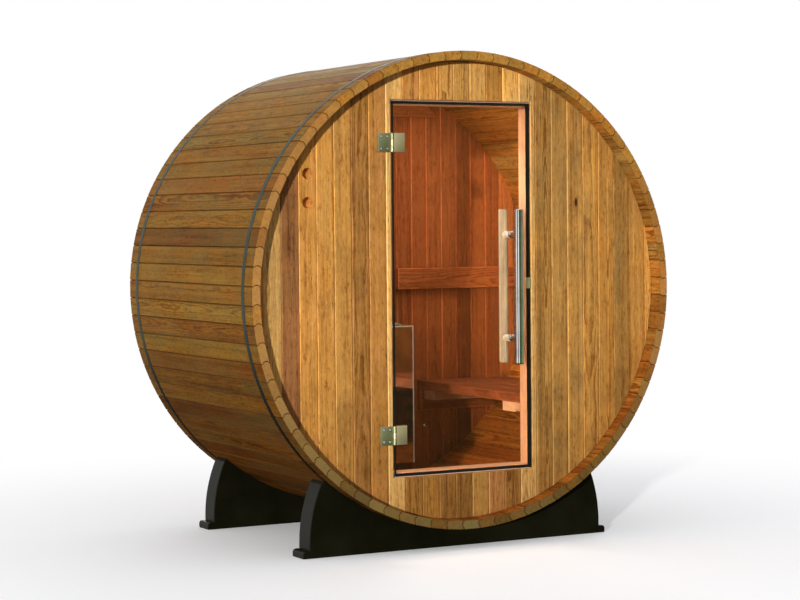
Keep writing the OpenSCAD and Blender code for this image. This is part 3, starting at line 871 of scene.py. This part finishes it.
def build_hinges():
    """Leaves with outer knuckles and a pin on the wall; clamps with the middle knuckle on the glass."""
    leaf_low, leaf_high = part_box("hinge_leaves")
    clamp_low, clamp_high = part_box("hinge_clamps")
    knuckle_r = (leaf_high.x - clamp_low.x) / 2
    pin = Vector(((leaf_high.x + clamp_low.x) / 2, leaf_low.y + knuckle_r, 0))
    gap, plate_t = 0.0015, 0.006
    pin_r, pin_ease = 0.003, 0.0006
    height, seat_inset, shade_ring_r = 0.072, 0.013, 0.0062
    third = height / 3
    front = wall_low.y - plate_t
    leaves, clamps, heads, shade_rings = [], [], [], []

    def knuckle(z, top):
        ease_r = knuckle_r - 0.0006
        ring = [(0.0004, ease_r), (0.001, knuckle_r), (top - 0.0006, knuckle_r), (top, ease_r)]
        return lathe(ring, pin + Vector((0, 0, z)), UP, 32)

    for bottom in (leaf_low.z, leaf_high.z - height):
        leaves.append(cuboid((leaf_low.x, front, bottom),
                             (pin.x - knuckle_r - gap, wall_low.y, bottom + height), 0.0012))
        for z in (bottom, bottom + 2 * third):
            leaves.append(cuboid((pin.x - knuckle_r - 2 * gap, front + 0.0003, z + 0.0004),
                                 (pin.x, wall_low.y, z + third - 0.0008), 0.0003))
            leaves.append(knuckle(z, third - 0.0008))
        leaves.append(lathe([(0, pin_r - 0.0005), (pin_ease, pin_r), (height - pin_ease, pin_r),
                             (height, pin_r - 0.0005)], pin + Vector((0, 0, bottom)), UP, 20))
        edge = pin.x + knuckle_r + gap
        clamps.append(cuboid((edge, front, bottom), (clamp_high.x, wall_low.y, bottom + height), 0.0012))
        clamps.append(cuboid((edge, glass_high.y, bottom), (clamp_high.x, clamp_high.y, bottom + height), 0.0012))
        clamps.append(cuboid((pin.x + 0.004, front + 0.0003, bottom + third + 0.0004),
                             (edge + gap, wall_low.y - 0.0014, bottom + 2 * third - 0.0004), 0.0003))
        clamps.append(knuckle(bottom + third, third - 0.0004))
        for x in (leaf_low.x + 0.0135, leaf_low.x + 0.040):
            for z in (bottom + seat_inset, bottom + height - seat_inset):
                heads.append(screw((x, front, z), FORWARD, HINGE_SCREW_R))
                # A dark disc round each screw head is painted shade in its countersink.
                shade_rings.append(lathe([(-0.0010, shade_ring_r), (0.0001, shade_ring_r), (0.0002, 0.0056), (0.0001, 0.0030)],
                                   (x, front, z), FORWARD, 24))
    soften(finish_mesh("hinge_leaf_plates", *join(leaves), hinge_steel, CABIN, "hinge_steel", ["hinge_leaves"]), 25)
    soften(finish_mesh("hinge_clamp_plates", *join(clamps), clamp_steel_painted_reflection, DOOR, "hinge_steel", ["hinge_clamps"]), 25)
    soften(finish_mesh("hinge_screws", *join(heads), screw_steel, CABIN, "hinge_steel"))
    soften(finish_mesh("hinge_countersink_shade", *join(shade_rings), dark_steel, CABIN, "hinge_steel"))


def build_small_screws():
    """A screw in each board along the battens, and two near the top of each band's left side."""
    low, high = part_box("middle_battens")
    heads = []
    for side in (-1, 1):
        for k in range(3, 12):
            place = side * (k + 0.5) * BOARD_PITCH, low.y, (low.z + high.z) / 2 + 0.012
            heads.append(screw(place, FORWARD, SCREW_R))
    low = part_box("top_cleat")[0]
    for k in range(-5, 5):
        heads.append(screw(((k + 0.5) * BOARD_PITCH, low.y, low.z + 0.020), FORWARD, SCREW_R))
    soften(finish_mesh("batten_screws", *join(heads), dark_steel, CABIN, "band_steel"))
    heads, lean, half_pitch = [], math.radians(16.7), 0.009
    out = Vector((-math.sin(lean), 0, math.cos(lean)))
    for band in ("front_band", "rear_band"):
        low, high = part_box(band)
        where = Vector((0, (low.y + high.y) / 2, AXIS_Z)) + out * (high.x - 0.0006)
        for shift in (-half_pitch, half_pitch):
            heads.append(lathe([(-0.001, SCREW_R), (0, SCREW_R), (0.0004, 0.002)],
                               where + Vector((0, shift, 0)), out, 16))
    soften(finish_mesh("band_screws", *join(heads), dark_steel, CABIN, "band_steel"))


build_hinges()
build_small_screws()


# ---- heater
def build_heater():
    """A case of sheets round a bottom and a tray for the stones, with pale strips round its front that paint a
    highlight on the case's edges.
    """
    low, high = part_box("heater_case")
    t = 0.003
    tray = high.z - 0.124
    parts = [cuboid(a, b, 0.001) for a, b in (
        (low, (high.x, low.y + t, high.z)),
        ((low.x, high.y - t, low.z), high),
        ((low.x, low.y + t, low.z), (low.x + t, high.y - t, high.z)),
        ((high.x - t, low.y + t, low.z), (high.x, high.y - t, high.z)),
        ((low.x + t, low.y + t, low.z), (high.x - t, high.y - t, low.z + t)),
        ((low.x + t, low.y + t, tray), (high.x - t, high.y - t, tray + t)))]
    finish_mesh("heater_panels", *join(parts), heater_steel, CABIN, "heater_steel", ["heater_case"])
    # Pale strips down the sides and across the top of the front are a painted highlight on the case's edges.
    lip, edge = 0.005, 0.0012
    highlight_strips = [cuboid((x, low.y - edge, low.z), (x + lip, low.y + edge, high.z), 0.0004)
            for x in (low.x, high.x - lip)]
    highlight_strips.append(cuboid((low.x + lip, low.y - edge, high.z - lip), (high.x - lip, low.y + edge, high.z), 0.0004))
    finish_mesh("heater_highlight_strips", *join(highlight_strips), satin_steel, CABIN, "heater_steel")


def build_stones():
    """Split stones in layers on the tray: spheres with flats cut on them, kept inside the CAD's box."""
    stone_low, stone_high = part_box("heater_stones")
    rng = random.Random(5)
    verts, faces = [], []
    for layer in range(3):
        for ix in range(7):
            for iy in range(3):
                size = rng.uniform(0.022, 0.031)
                x = stone_low.x + 0.032 + ix * (stone_high.x - stone_low.x - 0.064) / 6 + rng.uniform(-0.006, 0.006)
                y = stone_low.y + 0.030 + iy * (stone_high.y - stone_low.y - 0.060) / 2 + rng.uniform(-0.004, 0.004)
                z = stone_high.z - size - 0.002 - (2 - layer) * 0.034 + rng.uniform(-0.010, 0.0)
                bm = bmesh.new()
                bmesh.ops.create_icosphere(bm, subdivisions=2, radius=size)
                turn = Matrix.Rotation(rng.uniform(0, 6.28), 3,
                                       Vector((rng.random(), rng.random(), rng.random() + 0.1)).normalized())
                lumps = [Vector((rng.gauss(0, 1), rng.gauss(0, 1), rng.gauss(0, 1))).normalized() for _ in range(7)]
                for v in bm.verts:
                    unit = v.co.normalized()
                    cut = min(0.78 / max(unit.dot(l), 0.3) for l in lumps)
                    v.co = turn @ (unit * size * min(1.0, cut))
                    v.co.z *= 0.8
                first = len(verts)
                for v in bm.verts:
                    p = v.co + Vector((x, y, z))
                    verts.append(Vector((clamp(p.x, stone_low.x, stone_high.x),
                                         clamp(p.y, stone_low.y, stone_high.y), min(p.z, stone_high.z))))
                faces += [tuple(first + v.index for v in f.verts) for f in bm.faces]
                bm.free()
    finish_mesh("stones", verts, faces, stone_grey, CABIN, "stove_stone", ["heater_stones"])


build_heater()
build_stones()

# ---- CAD nodes that stay, with better materials
for node, material in (("front_band", band_steel), ("rear_band", band_steel), ("door_glass", bronze_glass),
                       ("door_seal", seal_black), ("door_catch", clamp_steel_painted_reflection), ("heater_brackets", hinge_steel)):
    NODES[node].data.materials.clear()
    NODES[node].data.materials.append(material)


# ---- stage: floor, world, lamps, camera
WHITE = (1.0, 1.0, 1.0)


def build_floor():
    """Paper that keeps the shadow near the sauna and fades to white far off. Mirrors and glass don't show it."""
    bpy.ops.mesh.primitive_plane_add(size=16, location=(0, 0, -0.0005))
    floor = bpy.context.object
    floor.name = "floor"
    g = Graph("floor_paper")
    path = g.add("LightPath")
    place = g.add("NewGeometry").outputs["Position"]
    grain = g.noise(g.scaled(place, even(9.0)), 3.0)
    seen = g.mix(grain, (0.87, 0.89, 0.95), (0.89, 0.91, 0.97))
    to_camera = path.outputs["Is Camera Ray"]
    colour = g.mix(to_camera, (0.30, 0.29, 0.27), seen)
    diffuse = g.add("BsdfDiffuse", {"Color": colour}).outputs[0]
    lift = g.glow("Emission", WHITE, g.times(to_camera, 0.16))
    near = g.add("AddShader", {0: diffuse, 1: lift}).outputs[0]
    distance = g.add("VectorMath", {0: place}, operation="LENGTH").outputs["Value"]
    far = g.times(g.step(distance, 1.6, 3.4), to_camera)
    floor.data.materials.append(g.output(g.blend(far, near, g.glow("Emission", WHITE))))
    floor.visible_glossy = False
    floor.visible_transmission = False


SKY_LOW, SKY_HIGH = 0.07, 0.86


def build_world():
    """White to the eye and through glass; an overcast gradient as light; white and dark bands in mirrors."""
    g = Graph("studio_work")
    world = bpy.data.worlds.new("studio")
    bpy.context.scene.world = world
    world.use_nodes = True
    bpy.data.materials.remove(g.material)
    g.tree = world.node_tree
    g.tree.nodes.clear()
    way = g.add("TexCoord").outputs["Generated"]
    path = g.add("LightPath")

    def along(direction):
        return g.add("VectorMath", {0: way, 1: direction}, operation="DOT_PRODUCT").outputs["Value"]
    height = g.add("SeparateXYZ", {0: way}).outputs[2]
    soft = g.glow("Background", (1.0, 0.985, 0.95), g.step(height, -0.1, 0.9, SKY_LOW, SKY_HIGH))
    white = g.glow("Background", WHITE)
    # What mirrors show goes round the horizon in bands, from the side that faces the viewer.
    turn = g.math("ARCTAN2", along((0.8809, -0.4732, 0)), along((-0.4732, -0.8809, 0)))
    place = g.madd(turn, 0.5 / math.pi, 0.5)
    bright, shade, leaf = WHITE, (0.012, 0.016, 0.008), (0.075, 0.110, 0.050)
    lawn, pale = (0.26, 0.34, 0.16), (0.42, 0.42, 0.38)
    bands = g.ramp(place, [(at, tone) for tone, *span in (
        (bright, 0.000, 0.382), (shade, 0.388, 0.442), (bright, 0.448, 0.506), (leaf, 0.512, 0.676),
        (lawn, 0.684, 0.736), (shade, 0.744, 0.776), (pale, 0.790, 1.000)) for at in span])
    mirror = g.blend(g.step(height, 0.30, 0.60), g.glow("Background", bands), white)
    mirror = g.blend(g.step(height, -0.10, -0.35), mirror, g.glow("Background", (0.03, 0.03, 0.02)))
    # Light that a pane reflects inside itself leaves it as transmission, and still shows what mirrors show.
    turned = g.math("GREATER_THAN", path.outputs["Glossy Depth"], 0.5)
    sent = path.outputs["Is Transmission Ray"]
    mirrored = g.math("MAXIMUM", path.outputs["Is Glossy Ray"], g.times(sent, turned))
    seen = g.math("MAXIMUM", path.outputs["Is Camera Ray"], g.times(sent, g.math("SUBTRACT", 1.0, turned)))
    g.add("OutputWorld", {"Surface": g.blend(seen, g.blend(mirrored, soft, mirror), white)})


def aim(thing, place, target):
    thing.location = place
    thing.rotation_mode = "QUATERNION"
    thing.rotation_quaternion = (Vector(target) - Vector(place)).to_track_quat("-Z", "Y")


def build_lamps():
    """A low sun from the front left, a soft one from behind, and three lamps that light the cabin."""
    for name, strength, spread, colour, place in (
            ("key", 3.5, 2, (1.0, 0.97, 0.90), (-4.3, -4.6, 0.8)),
            ("back_fill", 1.1, 40, (1.0, 0.99, 0.97), (3.5, 5.0, 0.9))):
        sun = put(name, bpy.data.lights.new(name, "SUN"))
        sun.data.energy, sun.data.angle, sun.data.color = strength, math.radians(spread), colour
        aim(sun, place, (0, 0, 0))
    for name, watts, size, place, target in (
            ("cabin_front", 4.2, (0.50, 0.30), (0, wall_high.y + 0.10, AXIS_Z + 0.62),
             (0, back_low.y, AXIS_Z - 0.1)),
            ("cabin_roof", 5.0, (0.90, 0.50), (0, -0.05, AXIS_Z + 0.74), (0, -0.05, 0)),
            ("cabin_back", 6.0, (0.30, 0.16), (0.10, back_low.y - 0.24, AXIS_Z + 0.52),
             (-0.6, wall_high.y, AXIS_Z - 0.2))):
        lamp = put(name, bpy.data.lights.new(name, "AREA"))
        lamp.data.shape, lamp.data.energy = "RECTANGLE", watts
        lamp.data.size, lamp.data.size_y = size
        lamp.visible_camera = lamp.visible_glossy = lamp.visible_transmission = False
        aim(lamp, place, target)


CAMERA_YAW, CAMERA_PITCH, CAMERA_ROLL = -28.2411, 2.1539, -0.5179
CAMERA_SENSOR, CAMERA_LENS = 36.0, 96.60
CAMERA_X, CAMERA_AHEAD, CAMERA_RISE = -4.1184, 7.0975, 0.2758


def build_camera():
    """The photo's own camera, fitted to the barrel's two end circles."""
    yaw, pitch, roll = (math.radians(a) for a in (CAMERA_YAW, CAMERA_PITCH, CAMERA_ROLL))
    ahead = Vector((-math.sin(yaw) * math.cos(pitch), math.cos(yaw) * math.cos(pitch), -math.sin(pitch)))
    right = Vector((math.cos(yaw), math.sin(yaw), 0))
    up = right.cross(ahead)
    right, up = right * math.cos(roll) + up * math.sin(roll), up * math.cos(roll) - right * math.sin(roll)
    camera = put("camera", bpy.data.cameras.new("camera"))
    camera.data.sensor_width, camera.data.lens = CAMERA_SENSOR, CAMERA_LENS
    place = Matrix.Translation((CAMERA_X, FRONT_Y - CAMERA_AHEAD, AXIS_Z + CAMERA_RISE))
    camera.matrix_world = place @ Matrix((right, up, -ahead)).transposed().to_4x4()
    bpy.context.scene.camera = camera


build_floor()
build_world()
build_lamps()
build_camera()
bpy.context.scene.view_settings.view_transform = "Standard"
